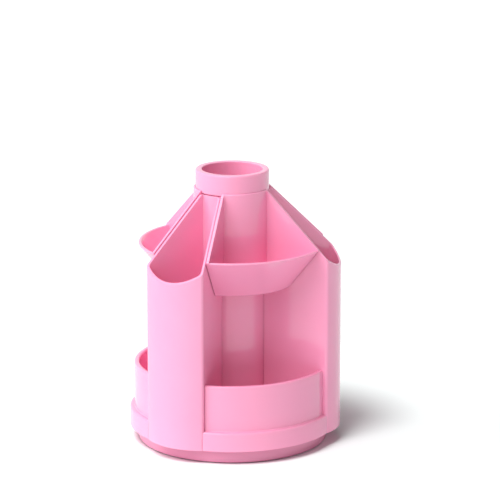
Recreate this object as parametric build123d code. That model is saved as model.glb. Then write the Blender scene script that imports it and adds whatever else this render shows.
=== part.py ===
from build123d import *
import math
import os

# Rotating desk organiser for pens and small things, in millimetres.
# Three tall pen pockets stand round a central tube, with a clip-in bin and an
# open tray in each recess between them, and the whole body spins on a foot.
# The origin is on the turning axis at table level, +Z is up and -Y is the front.

# Layout
SECTORS = 3
POCKET_NAMES = ("rear_pocket", "front_left_pocket", "front_right_pocket")
BIN_NAMES = ("left_bin", "front_bin", "right_bin")
FIRST_POCKET_ANGLE = 90.0

# Radii in plan, each step measured inwards from the one before
pocket_radius = 51.0
pocket_step = 2.6
wall_step = 2.2
bin_step = 1.9
bin_overhang = 15.3
foot_step = 3.2
foot_taper = 1.0
tube_radius = 16.0
tube_wall = 1.95
collar_thickness = 1.2
bin_back_thickness = 1.98

# Heights above the table
overall_height = 129.6
collar_height = 9.5
pocket_front_height = 84.8
bin_rim_height = 95.0
bin_depth = 19.3
tray_wall_top = 37.4
skirt_top = 15.8
foot_height = 6.4
foot_rim_lift = 0.3

# Pocket form
pocket_side_angle = 20.0
pocket_side_setback = 0.55
pocket_face_share = 0.52
pocket_slope_angle = 46.4
pocket_corner_radius = 1.5
pocket_front_rounding = 1.2
pocket_back_rounding = 0.8
pocket_floor_rounding = 0.6
pocket_wall = 1.25
pocket_floor = 1.8
rim_rounding = 0.35

# Tray, bin and tube walls
deck_thickness = 2.0
tray_wall_thickness = 2.4
tray_wall_rounding = 0.9
tray_floor_rounding = 0.8
skirt_rounding = 1.2
skirt_corner_radius = 2.5
skirt_wrap = 2.4
tray_ledge_rounding = 0.6
deck_edge_rounding = 0.3
bin_wall = 1.4
bin_side_wall = 1.2
bin_rim_rounding = 0.5
bin_base_rounding = 1.6
bin_floor_rounding = 0.9
bin_back_rounding = 0.65
tube_floor_rise = 7.7
tube_floor_thickness = 1.6
collar_top_rounding = 0.9
collar_mouth_rounding = 0.5
collar_base_rounding = 0.2
collar_seat_lip = 1.1

# Foot mouldings
foot_wall = 1.8
foot_plate_top = 4.4
foot_plate_thickness = 1.8
foot_edge_rounding = 0.5
foot_rib_count = 12
foot_rib_thickness = 1.2
bearing_ring_inset = 6.2
bearing_ring_width = 1.6
shoulder_radius = 8.0
post_radius = 5.0
post_height = 11.3
post_chamfer = 0.4
rib_lift = 0.4
non_slip_inset = 14.2
non_slip_thickness = 1.4

# Pivot and assembly screws
hub_radius = 8.5
spigot_wall = 1.5
spigot_height = 5.6
washer_radius = 7.4
washer_thickness = 1.0
pivot_shank_radius = 1.5
pivot_shank_length = 8.0
pivot_head_radius = 3.4
pivot_head_height = 2.2
screw_ring_gap = 4.0
screw_shank_radius = 1.1
screw_head_radius = 2.4
screw_head_height = 1.3
screw_reach = 7.0
boss_wall = 1.7
boss_height = 6.0
head_rounding_share = 0.33
recess_share = 0.62
recess_width = 0.9
recess_depth = 0.9
pilot_spare = 0.5

# Clearances
turning_gap = 0.3
bearing_gap = 0.1
pivot_running_clearance = 0.06
seat_clearance = 0.12
bin_side_clearance = 0.35
shank_clearance = 0.05
collar_gap = 0.5
lip_clearance = 0.14
deck_clearance = 0.25
catch_clearance = 0.15

# Catches that hold the bins in the pockets' side walls
catch_height = 0.7
catch_radius = 0.8
catch_length = 8.0
catch_share = 0.55

# Heights and radii that follow from the sizes above
pocket_face_radius = pocket_radius * pocket_face_share
skirt_radius = pocket_radius - pocket_step
tray_wall_radius = skirt_radius - wall_step
tray_inner_radius = tray_wall_radius - tray_wall_thickness
deck_radius = tray_wall_radius
bin_rim_radius = tray_wall_radius - bin_step
bin_base_radius = bin_rim_radius - bin_overhang
foot_top_radius = skirt_radius - foot_step
foot_base_radius = foot_top_radius - foot_taper
bearing_ring_radius = foot_top_radius - bearing_ring_inset
non_slip_radius = foot_base_radius - non_slip_inset
screw_circle_radius = bearing_ring_radius - bearing_ring_width - screw_head_radius - screw_ring_gap
tube_bore_radius = tube_radius - tube_wall
collar_radius = tube_radius + collar_thickness
core_radius = tube_radius + seat_clearance
bin_back_radius = core_radius + bin_back_thickness
deck_bottom = foot_height + turning_gap
deck_top = deck_bottom + deck_thickness
tube_floor_height = deck_top + tube_floor_rise
collar_underside = overall_height - collar_height
bin_base_height = bin_rim_height - bin_depth
catch_shift = pocket_side_setback - bin_side_clearance + catch_height - catch_radius
recess_half_angle = 180.0 / SECTORS - pocket_side_angle
pocket_slope = math.tan(math.radians(pocket_slope_angle))
far = 2 * (pocket_radius + overall_height)

# How closely an edge lies to the radius, height or plane that it is picked by
pick_tolerance = 0.001


def ring(outer, inner, bottom, top):
    """A plain tube about the turning axis between two heights."""
    solid = Cylinder(outer, top - bottom, align=(Align.CENTER, Align.CENTER, Align.MIN))
    hole = Cylinder(inner, top - bottom, align=(Align.CENTER, Align.CENTER, Align.MIN))
    return Pos(0, 0, bottom) * (solid - hole)


def disc(radius, bottom, top, x=0.0):
    """A plain cylinder parallel to the turning axis between two heights."""
    solid = Cylinder(radius, top - bottom, align=(Align.CENTER, Align.CENTER, Align.MIN))
    return Pos(x, 0, bottom) * solid


def wedge(half_angle, shift):
    """The plan area about +X between two sides at half_angle, each moved outwards by shift."""
    apex = -shift / math.sin(math.radians(half_angle))
    half_width = (far - apex) * math.tan(math.radians(half_angle))
    return make_face(Polyline((apex, 0), (far, -half_width), (far, half_width), close=True))


def prism(face, bottom, top):
    """A plan face raised between two heights."""
    return Pos(0, 0, bottom) * extrude(face, amount=top - bottom)


def turned(points, roundings=None):
    """A solid of revolution about Z from its radius and height profile, with rounded corners."""
    profile = make_face(Polyline(*[(radius, 0, height) for radius, height in points], close=True))
    for index, rounding in (roundings or {}).items():
        radius, height = points[index]
        corner = profile.vertices().sort_by_distance((radius, 0, height))[0]
        profile = fillet(corner, rounding)
    return revolve(profile, Axis.Z, 360)


def arcs_at(solid, radius, height):
    """The round edges of a solid that have one radius and lie at one height."""
    found = []
    for edge in solid.edges().filter_by(GeomType.CIRCLE):
        level = abs(edge.center(CenterOf.BOUNDING_BOX).Z - height) < pick_tolerance
        if level and abs(edge.radius - radius) < pick_tolerance:
            found.append(edge)
    return found


def sector_angle(index):
    """Direction of one pocket in degrees."""
    return FIRST_POCKET_ANGLE + index * 360.0 / SECTORS


def recess_angle(index):
    """Direction of one recess in degrees."""
    return sector_angle(index) + 180.0 / SECTORS


def pocket_plan(inset=0.0):
    """The plan of one pen pocket about +X with a bulging front, drawn inwards by a distance."""
    front = Pos(pocket_radius - pocket_face_radius, 0) * Circle(pocket_face_radius - inset)
    sides = wedge(pocket_side_angle, -pocket_side_setback - inset)
    plan = (front - Circle(core_radius + inset)) & sides
    if inset > 0:
        plan = fillet(plan.vertices().sort_by(Axis.X)[:2], pocket_back_rounding)
        return fillet(plan.vertices().sort_by(Axis.X)[-2:], pocket_front_rounding)
    return fillet(plan.vertices().sort_by(Axis.X)[-2:], pocket_corner_radius - inset)


def catch_bar(side_angle, side_shift, growth=0.0):
    """A round bar along a side wall at side_angle, where a bin's catch meets its groove."""
    height = bin_base_height + catch_share * bin_depth
    reach = bin_base_radius + catch_share * bin_overhang
    length = catch_length + 2 * growth
    bar = Rot(0, 90, 0) * Cylinder(catch_radius + growth, length)
    return Rot(0, 0, side_angle) * Pos((core_radius + reach) / 2, side_shift, height) * bar


def screw(shank_radius, shank_length, head_radius, head_height):
    """A pan-head screw that points down, with the underside of its head at the origin."""
    head = Cylinder(head_radius, head_height, align=(Align.CENTER, Align.CENTER, Align.MIN))
    head = fillet(head.edges().sort_by(Axis.Z)[-1], head_height * head_rounding_share)
    slot = Box(2 * head_radius * recess_share, recess_width, 2 * recess_depth)
    head -= Pos(0, 0, head_height) * slot
    head -= Pos(0, 0, head_height) * Rot(0, 0, 90) * slot
    shank = Cylinder(shank_radius, shank_length, align=(Align.CENTER, Align.CENTER, Align.MAX))
    return head + shank


def build_foot():
    """The turntable foot: a shallow dish with ribs below and a pivot post above."""
    plate_bottom = foot_plate_top - foot_plate_thickness
    body = turned([
        (0, plate_bottom),
        (foot_base_radius - foot_wall, plate_bottom),
        (foot_base_radius - foot_wall, foot_rim_lift),
        (foot_base_radius, foot_rim_lift),
        (foot_top_radius, foot_height),
        (foot_top_radius - foot_wall, foot_height),
        (foot_top_radius - foot_wall, foot_plate_top),
        (0, foot_plate_top),
    ])
    outer_edges = arcs_at(body, foot_base_radius, foot_rim_lift)
    outer_edges += arcs_at(body, foot_top_radius, foot_height)
    body = fillet(outer_edges, foot_edge_rounding)
    ring_top = deck_bottom - bearing_gap
    ring_inner = bearing_ring_radius - bearing_ring_width
    body += ring(bearing_ring_radius, ring_inner, foot_plate_top, ring_top)
    body += disc(shoulder_radius, foot_plate_top, ring_top)
    body += disc(post_radius, foot_plate_top, post_height)
    body = chamfer(arcs_at(body, post_radius, post_height), post_chamfer)
    rib_bottom = foot_rim_lift + rib_lift
    rib_length = foot_base_radius - foot_wall / 2
    for index in range(foot_rib_count):
        rib = Box(rib_length, foot_rib_thickness, plate_bottom - rib_bottom,
                  align=(Align.MIN, Align.CENTER, Align.MIN))
        body += Rot(0, 0, index * 360.0 / foot_rib_count) * Pos(0, 0, rib_bottom) * rib
    body -= disc(non_slip_radius + seat_clearance, 0, non_slip_thickness)
    body += ring(non_slip_radius + foot_rib_thickness, non_slip_radius + seat_clearance,
                 rib_bottom, plate_bottom)
    pilot_bottom = post_height + washer_thickness - pivot_shank_length - pilot_spare
    body -= disc(pivot_shank_radius + shank_clearance, pilot_bottom, post_height)
    return body


def tray_segment():
    """The skirt and tray wall of one recess about +X, wrapped round the corners of its pockets."""
    sides = wedge(recess_half_angle, pocket_side_setback + skirt_wrap)
    plan = (Circle(skirt_radius) - Circle(tray_inner_radius)) & sides
    plan = fillet(plan.vertices().sort_by(Axis.X)[-2:], skirt_corner_radius)
    body = prism(plan, deck_bottom, skirt_top)
    body = fillet(arcs_at(body, skirt_radius, skirt_top), skirt_rounding)
    body = fillet(arcs_at(body, skirt_radius, deck_bottom), deck_edge_rounding)
    wall_sides = wedge(recess_half_angle, pocket_side_setback)
    wall = (Circle(tray_wall_radius) - Circle(tray_inner_radius)) & wall_sides
    body += prism(wall, skirt_top, tray_wall_top)
    body = fillet(arcs_at(body, tray_wall_radius, skirt_top), tray_ledge_rounding)
    pocket_space = prism(pocket_plan(-seat_clearance), deck_bottom, tray_wall_top)
    for side in (-1, 1):
        body -= Rot(0, 0, side * 180.0 / SECTORS) * pocket_space
    return body


def build_lower_tray():
    """The deck that turns on the foot, with a skirt and a curved tray wall at each recess."""
    body = disc(deck_radius, deck_bottom, deck_top)
    inside_pocket = prism(pocket_plan(pocket_wall + deck_clearance), deck_bottom, deck_top)
    segment = tray_segment()
    for index in range(SECTORS):
        body += Rot(0, 0, sector_angle(index)) * inside_pocket
        body += Rot(0, 0, recess_angle(index)) * segment
    spigot_radius = tube_bore_radius - seat_clearance
    body += ring(spigot_radius, spigot_radius - spigot_wall, deck_top, deck_top + spigot_height)
    hub_top = post_height - bearing_gap
    body += disc(hub_radius, deck_top, hub_top)
    body -= disc(post_radius + pivot_running_clearance, deck_bottom, hub_top)
    for index in range(SECTORS):
        hole = disc(screw_shank_radius + seat_clearance, deck_bottom, deck_top, screw_circle_radius)
        body -= Rot(0, 0, sector_angle(index)) * hole
    body = fillet(arcs_at(body, tray_inner_radius, deck_top), tray_floor_rounding)
    wall_edges = arcs_at(body, tray_wall_radius, tray_wall_top)
    wall_edges += arcs_at(body, tray_inner_radius, tray_wall_top)
    return fillet(wall_edges, tray_wall_rounding)


def build_pocket():
    """One pen pocket about +X: a tall open box with a sloping mouth and a raised floor."""
    cavity = pocket_plan(pocket_wall)
    floor_bottom = deck_top + boss_height
    hollow = prism(cavity, floor_bottom + pocket_floor, overall_height)
    hollow = fillet(hollow.faces().sort_by(Axis.Z)[0].edges(), pocket_floor_rounding)
    body = prism(pocket_plan(), deck_bottom, overall_height)
    body = fillet(arcs_at(body, pocket_face_radius, deck_bottom), deck_edge_rounding) - hollow
    body -= prism(cavity, deck_bottom, floor_bottom)
    boss_radius = screw_shank_radius + boss_wall
    body += disc(boss_radius, deck_top, floor_bottom, screw_circle_radius)
    body -= disc(deck_radius + deck_clearance, deck_bottom, deck_top)
    pilot_top = deck_bottom + screw_reach + pilot_spare
    body -= disc(screw_shank_radius + shank_clearance, deck_top, pilot_top, screw_circle_radius)
    back_height = pocket_front_height + pocket_radius * pocket_slope
    above = make_face(Polyline(
        (0, 0, back_height),
        (pocket_radius + back_height / pocket_slope, 0, pocket_front_height - back_height),
        (pocket_radius + back_height / pocket_slope, 0, far),
        (0, 0, far),
        close=True,
    ))
    body -= extrude(above, amount=far, both=True)
    back_top = collar_underside - collar_gap
    body -= disc(far, back_top, far)
    slope_normal = Vector(pocket_slope, 0, 1).normalized()
    mouth_point = Vector(pocket_radius, 0, pocket_front_height)
    mouth_edges = []
    for edge in body.edges():
        heights = [abs((edge @ share - mouth_point).dot(slope_normal)) for share in (0, 0.5, 1)]
        if max(heights) < pick_tolerance and edge.center().Z < back_top - rim_rounding:
            mouth_edges.append(edge)
    body = fillet(mouth_edges, rim_rounding)
    for side in (-1, 1):
        body -= catch_bar(side * pocket_side_angle, -side * catch_shift, catch_clearance)
    return body


def build_bin():
    """One clip-in bin about +X: a leaning conical front, a floor, a curved back and two sides."""
    lip_inner = collar_radius + lip_clearance
    lip_top = collar_underside + collar_seat_lip
    seat_height = collar_underside - seat_clearance
    lean = math.atan2(bin_rim_radius - bin_base_radius, bin_rim_height - bin_base_height)
    wall_in_plan = bin_wall / math.cos(lean)
    floor_top = bin_base_height + bin_wall
    floor_radius = bin_base_radius + bin_wall * math.tan(lean) - wall_in_plan
    wall_points = [
        (core_radius, bin_base_height),
        (bin_base_radius, bin_base_height),
        (bin_rim_radius, bin_rim_height),
        (bin_rim_radius - wall_in_plan, bin_rim_height),
        (floor_radius, floor_top),
        (bin_back_radius, floor_top),
        (bin_back_radius, lip_top),
        (lip_inner, lip_top),
        (lip_inner, seat_height),
        (core_radius, seat_height),
    ]
    wall_roundings = {1: bin_base_rounding, 2: bin_rim_rounding, 3: bin_rim_rounding,
                      4: bin_floor_rounding, 6: bin_back_rounding}
    side_points = [
        (core_radius, bin_base_height),
        (bin_base_radius, bin_base_height),
        (bin_rim_radius, bin_rim_height),
        (bin_back_radius, side_wall_height(bin_back_radius)),
        (lip_inner, side_wall_height(bin_back_radius)),
        (lip_inner, seat_height),
        (core_radius, seat_height),
    ]
    side_roundings = {1: bin_base_rounding, 2: bin_rim_rounding}
    shift = pocket_side_setback - bin_side_clearance
    outer_plan = wedge(recess_half_angle, shift)
    side_plan = outer_plan - wedge(recess_half_angle, shift - bin_side_wall)
    shell = turned(wall_points, wall_roundings) & prism(outer_plan, bin_base_height, overall_height)
    sides = turned(side_points, side_roundings) & prism(side_plan, bin_base_height, overall_height)
    body = shell + sides
    for side in (-1, 1):
        body += catch_bar(side * recess_half_angle, side * catch_shift)
    return body


def side_wall_height(radius):
    """Height of a bin's side wall at a radius, parallel to the pocket wall beside it."""
    inward = (bin_rim_radius - radius) * math.cos(math.radians(pocket_side_angle))
    return bin_rim_height + inward * pocket_slope


def build_tube():
    """The central tube with its thick collar, closed near the bottom by a floor."""
    body = ring(tube_radius, tube_bore_radius, deck_top, overall_height)
    body += ring(collar_radius, tube_bore_radius, collar_underside, overall_height)
    body += disc(tube_bore_radius, tube_floor_height, tube_floor_height + tube_floor_thickness)
    body = fillet(arcs_at(body, collar_radius, overall_height), collar_top_rounding)
    body = fillet(arcs_at(body, tube_bore_radius, overall_height), collar_mouth_rounding)
    return fillet(arcs_at(body, collar_radius, collar_underside), collar_base_rounding)


def build_washer():
    """The washer between the screw head and the hub, resting on the post."""
    return ring(washer_radius, pivot_shank_radius + seat_clearance, post_height,
                post_height + washer_thickness)


def build_pivot_screw():
    """The screw in the post that keeps the turning body on its foot."""
    head_seat = post_height + washer_thickness
    return Pos(0, 0, head_seat) * screw(pivot_shank_radius, pivot_shank_length,
                                        pivot_head_radius, pivot_head_height)


def build_pocket_screws():
    """One screw under each pocket, driven up through the deck into the pocket's boss."""
    single = screw(screw_shank_radius, screw_reach, screw_head_radius, screw_head_height)
    placed = Pos(screw_circle_radius, 0, deck_bottom) * Rot(180, 0, 0) * single
    return Compound(children=[Rot(0, 0, sector_angle(index)) * placed for index in range(SECTORS)])


os.makedirs("parts", exist_ok=True)

nodes = {
    "foot_disc": build_foot(),
    "non_slip_disc": disc(non_slip_radius, 0, non_slip_thickness),
    "pivot_screw": build_pivot_screw(),
    "pivot_washer": build_washer(),
    "lower_tray": build_lower_tray(),
    "center_tube": build_tube(),
    "pocket_screws": build_pocket_screws(),
}
pocket = build_pocket()
bin_shell = build_bin()
for index in range(SECTORS):
    nodes[POCKET_NAMES[index]] = Rot(0, 0, sector_angle(index)) * pocket
    nodes[BIN_NAMES[index]] = Rot(0, 0, recess_angle(index)) * bin_shell

for name, solid in nodes.items():
    export_step(solid, f"parts/{name}.step")
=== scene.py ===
import math

import bpy
import numpy as np
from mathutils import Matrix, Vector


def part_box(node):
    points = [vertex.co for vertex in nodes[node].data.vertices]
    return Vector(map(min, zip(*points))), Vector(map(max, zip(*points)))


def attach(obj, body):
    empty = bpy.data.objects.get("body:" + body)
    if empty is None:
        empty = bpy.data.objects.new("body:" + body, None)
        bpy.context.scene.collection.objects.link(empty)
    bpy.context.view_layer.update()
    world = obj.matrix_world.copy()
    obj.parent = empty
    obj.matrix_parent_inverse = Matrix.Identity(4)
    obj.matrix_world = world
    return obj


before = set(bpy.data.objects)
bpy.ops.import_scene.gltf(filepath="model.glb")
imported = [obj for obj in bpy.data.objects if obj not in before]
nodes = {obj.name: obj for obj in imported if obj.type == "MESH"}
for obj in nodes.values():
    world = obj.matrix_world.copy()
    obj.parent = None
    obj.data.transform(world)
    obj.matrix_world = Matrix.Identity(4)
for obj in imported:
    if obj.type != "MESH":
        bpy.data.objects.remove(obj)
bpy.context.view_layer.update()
studio = bpy.context.scene

# Foot
# The turntable foot is one moulding of impact polystyrene: a shallow dish, ribbed below, that
# lies on the desk and carries the turning body on a narrow ring. Its tool is less polished
# than the others, so it is duller. Its pink is set darker than the body's same pink as
# painted shade, for the shadow that the skirt casts on the foot.


def linear(hex_colour):
    """A linear colour with alpha 1 from an sRGB hex colour, by the sRGB transfer curve."""
    channels = np.array([int(hex_colour[i:i + 2], 16) for i in (1, 3, 5)]) / 255
    low = channels / 12.92
    high = ((channels + 0.055) / 1.055) ** 2.4
    return (*np.where(channels <= 0.04045, low, high), 1.0)


def add(tree, kind, settings=(), links=()):
    """Adds a node to a tree with its settings, its socket values and its incoming links."""
    node = tree.nodes.new(kind)
    for name, value in dict(settings).items():
        if isinstance(name, str) and hasattr(node, name):
            setattr(node, name, value)
        else:
            node.inputs[name].default_value = value
    for name, source in dict(links).items():
        tree.links.new(source, node.inputs[name])
    return node


def empty_material(name):
    """A new material and its node tree, cleared of the nodes that a new material comes with."""
    material = bpy.data.materials.new(name)
    material.use_nodes = True
    material.node_tree.nodes.clear()
    return material, material.node_tree


# The colour sockets of a Mix node go by number, because its other sockets have the same names.
COLOUR_A, COLOUR_B, MIXED_COLOUR = 6, 7, 2


def moulded_polystyrene(name, colour, deep_colour, roughness):
    """Pigmented impact polystyrene from a steel mould.

    The pigment lies in clouds a few centimetres wide. Handling leaves duller patches of about
    a centimetre, and drawing the piece off its core leaves fine streaks along the height. The
    surface shrinks into waves about 9 mm long and takes a grain of half a millimetre from the
    tool, which is drawn twice as coarse as it is so that it shows.
    """
    cloud_width, streak_width, patch_width = 0.030, 0.0009, 0.012
    wave_length, grain_width = 0.009, 0.0010
    material, tree = empty_material(name)
    place = add(tree, "ShaderNodeTexCoord").outputs["Object"]

    clouds = add(tree, "ShaderNodeTexNoise",
                 {"Scale": 1 / cloud_width, "Detail": 3.0, "Roughness": 0.5}, {"Vector": place})
    tint = add(tree, "ShaderNodeMapRange",
               {"From Min": 0.3, "From Max": 0.7, "To Min": 0.0, "To Max": 0.22},
               {"Value": clouds.outputs["Fac"]})
    paint = add(tree, "ShaderNodeMix",
                {"data_type": "RGBA", COLOUR_A: linear(colour), COLOUR_B: linear(deep_colour)},
                {"Factor": tint.outputs["Result"]})

    drawn = add(tree, "ShaderNodeMapping", {"Scale": (1.0, 1.0, 0.05)}, {"Vector": place})
    streaks = add(tree, "ShaderNodeTexNoise",
                  {"Scale": 1 / streak_width, "Detail": 2.0, "Roughness": 0.6},
                  {"Vector": drawn.outputs["Vector"]})
    handling = add(tree, "ShaderNodeTexNoise",
                   {"Scale": 1 / patch_width, "Detail": 4.0, "Roughness": 0.6}, {"Vector": place})
    wear = add(tree, "ShaderNodeMath", {"operation": "ADD"},
               {0: streaks.outputs["Fac"], 1: handling.outputs["Fac"]})
    gloss = add(tree, "ShaderNodeMapRange",
                {"From Min": 0.7, "From Max": 1.3,
                 "To Min": roughness - 0.02, "To Max": roughness + 0.02},
                {"Value": wear.outputs["Value"]})

    waves = add(tree, "ShaderNodeTexNoise",
                {"Scale": 1 / wave_length, "Detail": 1.0, "Roughness": 0.4}, {"Vector": place})
    shrinkage = add(tree, "ShaderNodeBump", {"Strength": 0.5, "Distance": 0.00006},
                    {"Height": waves.outputs["Fac"]})
    grain = add(tree, "ShaderNodeTexNoise",
                {"Scale": 1 / grain_width, "Detail": 2.0, "Roughness": 0.5}, {"Vector": place})
    relief = add(tree, "ShaderNodeBump", {"Strength": 0.3, "Distance": 0.00001},
                 {"Height": grain.outputs["Fac"], "Normal": shrinkage.outputs["Normal"]})

    plastic = add(tree, "ShaderNodeBsdfPrincipled",
                  {"IOR": 1.59, "Subsurface Weight": 0.12,
                   "Subsurface Radius": (1.0, 0.35, 0.45), "Subsurface Scale": 0.0015},
                  {"Base Color": paint.outputs[MIXED_COLOUR], "Roughness": gloss.outputs["Result"],
                   "Normal": relief.outputs["Normal"]})
    add(tree, "ShaderNodeOutputMaterial", {}, {"Surface": plastic.outputs["BSDF"]})
    return material


def dress(node_name, material):
    """Gives a solid of the frame its material, and shades it smooth where its faces meet flatly."""
    weld_distance, smooth_below = 1e-6, math.radians(35)
    piece = nodes[node_name]
    piece.data.materials.clear()
    piece.data.materials.append(material)
    piece.data.polygons.foreach_set("use_smooth", np.ones(len(piece.data.polygons), bool))
    weld = piece.modifiers.new("weld", "WELD")
    weld.merge_threshold = weld_distance
    split = piece.modifiers.new("sharp edges", "EDGE_SPLIT")
    split.split_angle = smooth_below
    piece.modifiers.new("even shading", "WEIGHTED_NORMAL")


def spun_marks(name, profile, centres, axis_sign, material, sides=24):
    """Small marks that the mould leaves, all in one mesh.

    Each is the profile, given as radius and height in metres from pole to pole, turned about
    a vertical line through its centre: x = cx + r cos t, y = cy + r sin t, z = cz + sign h.
    """
    radius, height = np.array(profile).T
    turn = np.linspace(0, 2 * math.pi, sides, endpoint=False) * axis_sign
    grid_x = radius[1:-1, None] * np.cos(turn)
    grid_y = radius[1:-1, None] * np.sin(turn)
    grid_z = np.broadcast_to(axis_sign * height[1:-1, None], grid_x.shape)
    ring_points = np.stack([grid_x, grid_y, grid_z], -1).reshape(-1, 3)
    poles = np.array([[0, 0, axis_sign * height[0]], [0, 0, axis_sign * height[-1]]])
    single = np.concatenate([ring_points, poles])
    rows, columns = grid_x.shape
    row, column = np.mgrid[0:rows - 1, 0:columns]
    after = (column + 1) % columns
    walls = np.stack([row * columns + column, row * columns + after,
                      (row + 1) * columns + after, (row + 1) * columns + column], -1).reshape(-1, 4)
    around = np.arange(columns)
    first, last = rows * columns, rows * columns + 1
    bottom = np.stack([np.full(columns, first), (around + 1) % columns, around], -1)
    end = (rows - 1) * columns
    top = np.stack([np.full(columns, last), end + around, end + (around + 1) % columns], -1)
    points, faces = [], []
    for index, centre in enumerate(centres):
        points.append(single + centre)
        shift = index * len(single)
        faces += (walls + shift).tolist() + (bottom + shift).tolist() + (top + shift).tolist()
    mesh = bpy.data.meshes.new(name)
    mesh.from_pydata(np.concatenate(points).tolist(), [], faces)
    mesh.polygons.foreach_set("use_smooth", np.ones(len(mesh.polygons), bool))
    mesh.materials.append(material)
    piece = bpy.data.objects.new(name, mesh)
    studio.collection.objects.link(piece)
    return piece


def on_circle(radius, height, start, count):
    """Evenly spaced points on a level circle about the turning axis, the first at start degrees."""
    angle = np.radians(start + 360 / count * np.arange(count))
    return np.stack([radius * np.cos(angle), radius * np.sin(angle), np.full(count, height)], -1)


# The foot's pink is darker than the body's: painted shade for the skirt's shadow on it.
foot_plastic_painted_shade = moulded_polystyrene("foot polystyrene, satin, painted shade", "#DC8BAB", "#D480A1", 0.40)
dress("foot_disc", foot_plastic_painted_shade)

# Where the ejector pins pushed the foot out of its tool, between the ribs: rings of thin flash.
EJECTOR_PROFILE = ((0, -1e-4), (2.2e-3, -1e-4), (2.2e-3, 6e-5), (2.1e-3, 9e-5), (1.95e-3, 4e-5),
                   (0, 3e-5))
FOOT_PLATE_UNDERSIDE = 0.0026
foot_pins = on_circle(radius=0.0368, height=FOOT_PLATE_UNDERSIDE, start=15, count=6)
foot_marks = spun_marks("foot_ejector_marks", EJECTOR_PROFILE, foot_pins, -1, foot_plastic_painted_shade)
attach(foot_marks, "foot")

# Non-slip disc
# A disc of black closed-cell foam, die-cut from a sheet 1.4 mm thick and glued to the underside
# of the foot. It is quite matt, with its cut cells showing as pits of about a third of a
# millimetre.


def closed_cell_foam(name):
    """Black foam sheet: matt, with pits of 0.35 mm from a Voronoi pattern of cells.

    Desk dust greys it in patches about 6 mm wide.
    """
    cell_width, dust_width = 0.00035, 0.006
    material, tree = empty_material(name)
    place = add(tree, "ShaderNodeTexCoord").outputs["Object"]
    cells = add(tree, "ShaderNodeTexVoronoi", {"Scale": 1 / cell_width}, {"Vector": place})
    dust = add(tree, "ShaderNodeTexNoise",
               {"Scale": 1 / dust_width, "Detail": 4.0, "Roughness": 0.6}, {"Vector": place})
    shade = add(tree, "ShaderNodeMix",
                {"data_type": "RGBA", COLOUR_A: linear("#252426"), COLOUR_B: linear("#3B393A")},
                {"Factor": dust.outputs["Fac"]})
    pits = add(tree, "ShaderNodeBump", {"Strength": 0.6, "Distance": 0.00012},
               {"Height": cells.outputs["Distance"]})
    foam = add(tree, "ShaderNodeBsdfPrincipled", {"Roughness": 0.92, "IOR": 1.45},
               {"Base Color": shade.outputs[MIXED_COLOUR], "Normal": pits.outputs["Normal"]})
    add(tree, "ShaderNodeOutputMaterial", {}, {"Surface": foam.outputs["BSDF"]})
    return material


dress("non_slip_disc", closed_cell_foam("black closed-cell foam, die-cut"))

# Lower tray
# The deck with its skirt and the three curved tray walls is one moulding of the same pink
# impact polystyrene. Its polished tool leaves it glossy enough to mirror its own walls softly.
# It turns on the foot's ring and post.

body_plastic = moulded_polystyrene("body polystyrene, polished tool", "#F9A0C3", "#F190B6", 0.055)
dress("lower_tray", body_plastic)

# Two ejector pins pushed on each third of the tray's floor.
TRAY_FLOOR = 0.0087
tray_pins = np.concatenate([on_circle(radius=0.034, height=TRAY_FLOOR, start=18, count=3),
                            on_circle(radius=0.034, height=TRAY_FLOOR, start=42, count=3)])
tray_marks = spun_marks("tray_ejector_marks", EJECTOR_PROFILE, tray_pins, 1, body_plastic)
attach(tray_marks, "carousel")

# Pivot screw and washer
# A cross-headed steel screw in the foot's post holds the turning body down through a plain
# washer. One is cold-formed and the other stamped, and the zinc plate on both is a pale grey,
# finely mottled metal.


def zinc_plated_steel(name):
    """Zinc plate on formed steel: grey metal, mottled at 0.8 mm, with a faint warm passivation."""
    mottle_width = 0.0008
    material, tree = empty_material(name)
    place = add(tree, "ShaderNodeTexCoord").outputs["Object"]
    mottle = add(tree, "ShaderNodeTexNoise",
                 {"Scale": 1 / mottle_width, "Detail": 3.0, "Roughness": 0.6}, {"Vector": place})
    shade = add(tree, "ShaderNodeMix",
                {"data_type": "RGBA", COLOUR_A: linear("#C3C7CB"), COLOUR_B: linear("#D3CFC2")},
                {"Factor": mottle.outputs["Fac"]})
    polish = add(tree, "ShaderNodeMapRange",
                 {"From Min": 0.3, "From Max": 0.7, "To Min": 0.26, "To Max": 0.40},
                 {"Value": mottle.outputs["Fac"]})
    metal = add(tree, "ShaderNodeBsdfPrincipled", {"Metallic": 1.0},
                {"Base Color": shade.outputs[MIXED_COLOUR], "Roughness": polish.outputs["Result"]})
    add(tree, "ShaderNodeOutputMaterial", {}, {"Surface": metal.outputs["BSDF"]})
    return material


screw_steel = zinc_plated_steel("zinc-plated steel, cold-formed")
dress("pivot_screw", screw_steel)
dress("pivot_washer", screw_steel)

# Central tube
# The tube with its thick collar is a separate moulding that stands on the deck's spigot. It
# is closed by a floor near its foot and holds pencils.

dress("center_tube", body_plastic)

# Pen pockets
# Three tall open boxes with a bulging front and a sloping mouth, moulded alike in the same
# polished pink. Each is drawn off a long core and screwed to the deck from below.

for pocket in ("rear_pocket", "front_left_pocket", "front_right_pocket"):
    dress(pocket, body_plastic)

# Pocket screws
# One short cross-headed screw of the same zinc-plated steel holds each pocket, driven up
# through the deck into a boss.

dress("pocket_screws", screw_steel)

# Clip-in bins
# Three shallow bins with a leaning conical front, in the same polished pink, hang between the
# pockets: a lip at the back stands round the collar and a round catch on each side sits in the
# pocket's groove.

for bin_name in ("left_bin", "front_bin", "right_bin"):
    dress(bin_name, body_plastic)

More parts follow.
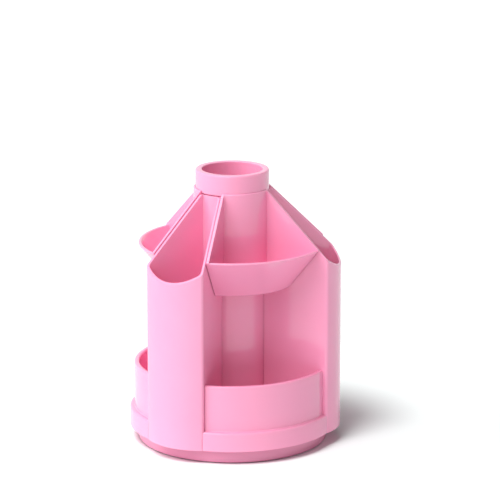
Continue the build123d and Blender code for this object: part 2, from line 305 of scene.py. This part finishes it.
# Where the runner was cut off under the middle of each bin's floor: a low rough stub.
GATE_PROFILE = ((0, -1e-4), (1.0e-3, -1e-4), (1.0e-3, 8e-5), (7e-4, 2.4e-4), (4e-4, 1.7e-4),
                (2e-4, 2.1e-4), (0, 1.6e-4))
bin_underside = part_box("front_bin")[0][2]
gates = on_circle(radius=0.0225, height=bin_underside, start=30, count=3)
gate_marks = spun_marks("bin_gate_marks", GATE_PROFILE, gates, -1, body_plastic)
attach(gate_marks, "carousel")

# Camera
# It stands where the photograph was taken from: to the left of the front and a little above,
# far off with a long lens. Its place in metres was fitted to edges of the object.

VIEW_AZIMUTH = math.radians(24.9)
VIEW_ELEVATION = 0.2519
FOCAL_PIXELS = 3130.6
IMAGE_PIXELS = 500
SENSOR_MM = 36.0
DISTANCE, SHIFT_RIGHT, SHIFT_UP = 1.4865, 0.00826, 0.08745
FAR_CLIP = 50
ahead = np.array([math.sin(VIEW_AZIMUTH), math.cos(VIEW_AZIMUTH), 0.0])
right = np.array([math.cos(VIEW_AZIMUTH), -math.sin(VIEW_AZIMUTH), 0.0])
vertical = np.array([0.0, 0.0, 1.0])
forward = math.cos(VIEW_ELEVATION) * ahead - math.sin(VIEW_ELEVATION) * vertical
upward = math.sin(VIEW_ELEVATION) * ahead + math.cos(VIEW_ELEVATION) * vertical
station = SHIFT_RIGHT * right + SHIFT_UP * upward - DISTANCE * forward
camera_data = bpy.data.cameras.new("camera")
camera_data.lens = FOCAL_PIXELS * SENSOR_MM / IMAGE_PIXELS
camera_data.sensor_width = SENSOR_MM
camera_data.clip_end = FAR_CLIP
camera = bpy.data.objects.new("camera", camera_data)
pose = np.eye(4)
pose[:3] = np.column_stack([right, upward, -forward, station])
camera.matrix_world = Matrix(pose.tolist())
studio.collection.objects.link(camera)
studio.camera = camera

# Floor
# A seamless white table top. The light falls on it strongly enough to leave it white, and only
# the object's shadow shows on it. Its colour holds a little less red, which offsets the light
# that the pink body throws on it.

FLOOR_HALF = 8.0
FLOOR_COLOUR = (0.87, 0.922, 0.91, 1)
floor_mesh = bpy.data.meshes.new("floor")
floor_mesh.from_pydata([(-FLOOR_HALF, -FLOOR_HALF, 0), (FLOOR_HALF, -FLOOR_HALF, 0),
                        (FLOOR_HALF, FLOOR_HALF, 0), (-FLOOR_HALF, FLOOR_HALF, 0)],
                       [], [(0, 1, 2, 3)])
floor = bpy.data.objects.new("floor", floor_mesh)
studio.collection.objects.link(floor)
white, tree = empty_material("white table top")
matt = add(tree, "ShaderNodeBsdfDiffuse", {"Color": FLOOR_COLOUR})
add(tree, "ShaderNodeOutputMaterial", {}, {"Surface": matt.outputs["BSDF"]})
floor_mesh.materials.append(white)

# Lights and backdrop
# Soft lamps high on the front left, broad ones from the left and behind, and even light from a
# white room. The table has lamps of its own, whose shadow is the one in the photograph.


def lamp_group(name, state):
    """A group for light linking that holds the table top, as what a lamp lights or leaves out."""
    group = bpy.data.collections.new(name)
    group.objects.link(floor)
    group.collection_objects[0].light_linking.link_state = state
    return group


TABLE_ONLY = lamp_group("table top only", "INCLUDE")
NOT_TABLE = lamp_group("all but the table top", "EXCLUDE")


def soft_lamp(name, from_left, elevation, softness, strength, lights, mirrored=False):
    """A far soft lamp, from_left degrees round from the camera towards its left hand.

    A strength of 1 lights a surface that faces it as brightly as its own colour. A mirrored
    lamp draws a light line on every rounded rim. The others are hidden from reflections,
    where the white room stands for them.
    """
    data = bpy.data.lights.new(name, "SUN")
    data.energy = strength * math.pi
    data.angle = math.radians(softness)
    turn, rise = math.radians(from_left), math.radians(elevation)
    level = -math.cos(turn) * ahead - math.sin(turn) * right
    towards = math.cos(rise) * level + math.sin(rise) * vertical
    lamp = bpy.data.objects.new(name, data)
    lamp.rotation_mode = "QUATERNION"
    lamp.rotation_quaternion = Vector(towards).to_track_quat("Z", "Y")
    lamp.visible_glossy = mirrored
    lamp.light_linking.receiver_collection = lights
    studio.collection.objects.link(lamp)


# Name, degrees round to the camera's left, degrees up, degrees of softness, strength, what it
# lights, and whether reflections show it.
LAMPS = (
    ("key lamp", 36, 62, 40, 0.24, NOT_TABLE, True),
    ("front lamp", 20, 38, 45, 0.26, NOT_TABLE),
    ("left lamp", 68, 35, 50, 0.78, NOT_TABLE),
    ("side lamp", 100, 12, 45, 0.18, NOT_TABLE),
    ("right fill lamp", -60, 38, 45, 0.07, NOT_TABLE),
    ("back lamp", 180, 62, 45, 0.20, NOT_TABLE),
    ("shadow lamp", 34, 62, 23, 0.80, TABLE_ONLY),
    ("table lamp", 36, 75, 50, 0.25, TABLE_ONLY),
    ("low left table lamp", 88, 22, 45, 0.40, TABLE_ONLY),
    ("low right table lamp", -80, 15, 40, 0.14, TABLE_ONLY),
)
for lamp in LAMPS:
    soft_lamp(*lamp)


def camera_or_mirror(tree):
    """A factor of 1 for rays from the camera, a glossy surface or a clear one, and 0 for others."""
    path = add(tree, "ShaderNodeLightPath")
    seen = add(tree, "ShaderNodeMath", {"operation": "MAXIMUM"},
               {0: path.outputs["Is Camera Ray"], 1: path.outputs["Is Glossy Ray"]})
    seen = add(tree, "ShaderNodeMath", {"operation": "MAXIMUM"},
               {0: seen.outputs["Value"], 1: path.outputs["Is Transmission Ray"]})
    return seen.outputs["Value"]


# The room is seen at full white, directly and in reflections, but gives only this much light.
ROOM_LEVEL = 0.13
room = bpy.data.worlds.new("white room")
studio.world = room
room.use_nodes = True
tree = room.node_tree
tree.nodes.clear()
level = add(tree, "ShaderNodeMapRange", {"To Min": ROOM_LEVEL, "To Max": 1.0},
            {"Value": camera_or_mirror(tree)})
sky = add(tree, "ShaderNodeBackground", {"Color": (1, 1, 1, 1)},
          {"Strength": level.outputs["Result"]})
add(tree, "ShaderNodeOutputWorld", {}, {"Surface": sky.outputs["Background"]})
studio.view_settings.view_transform = "Standard"
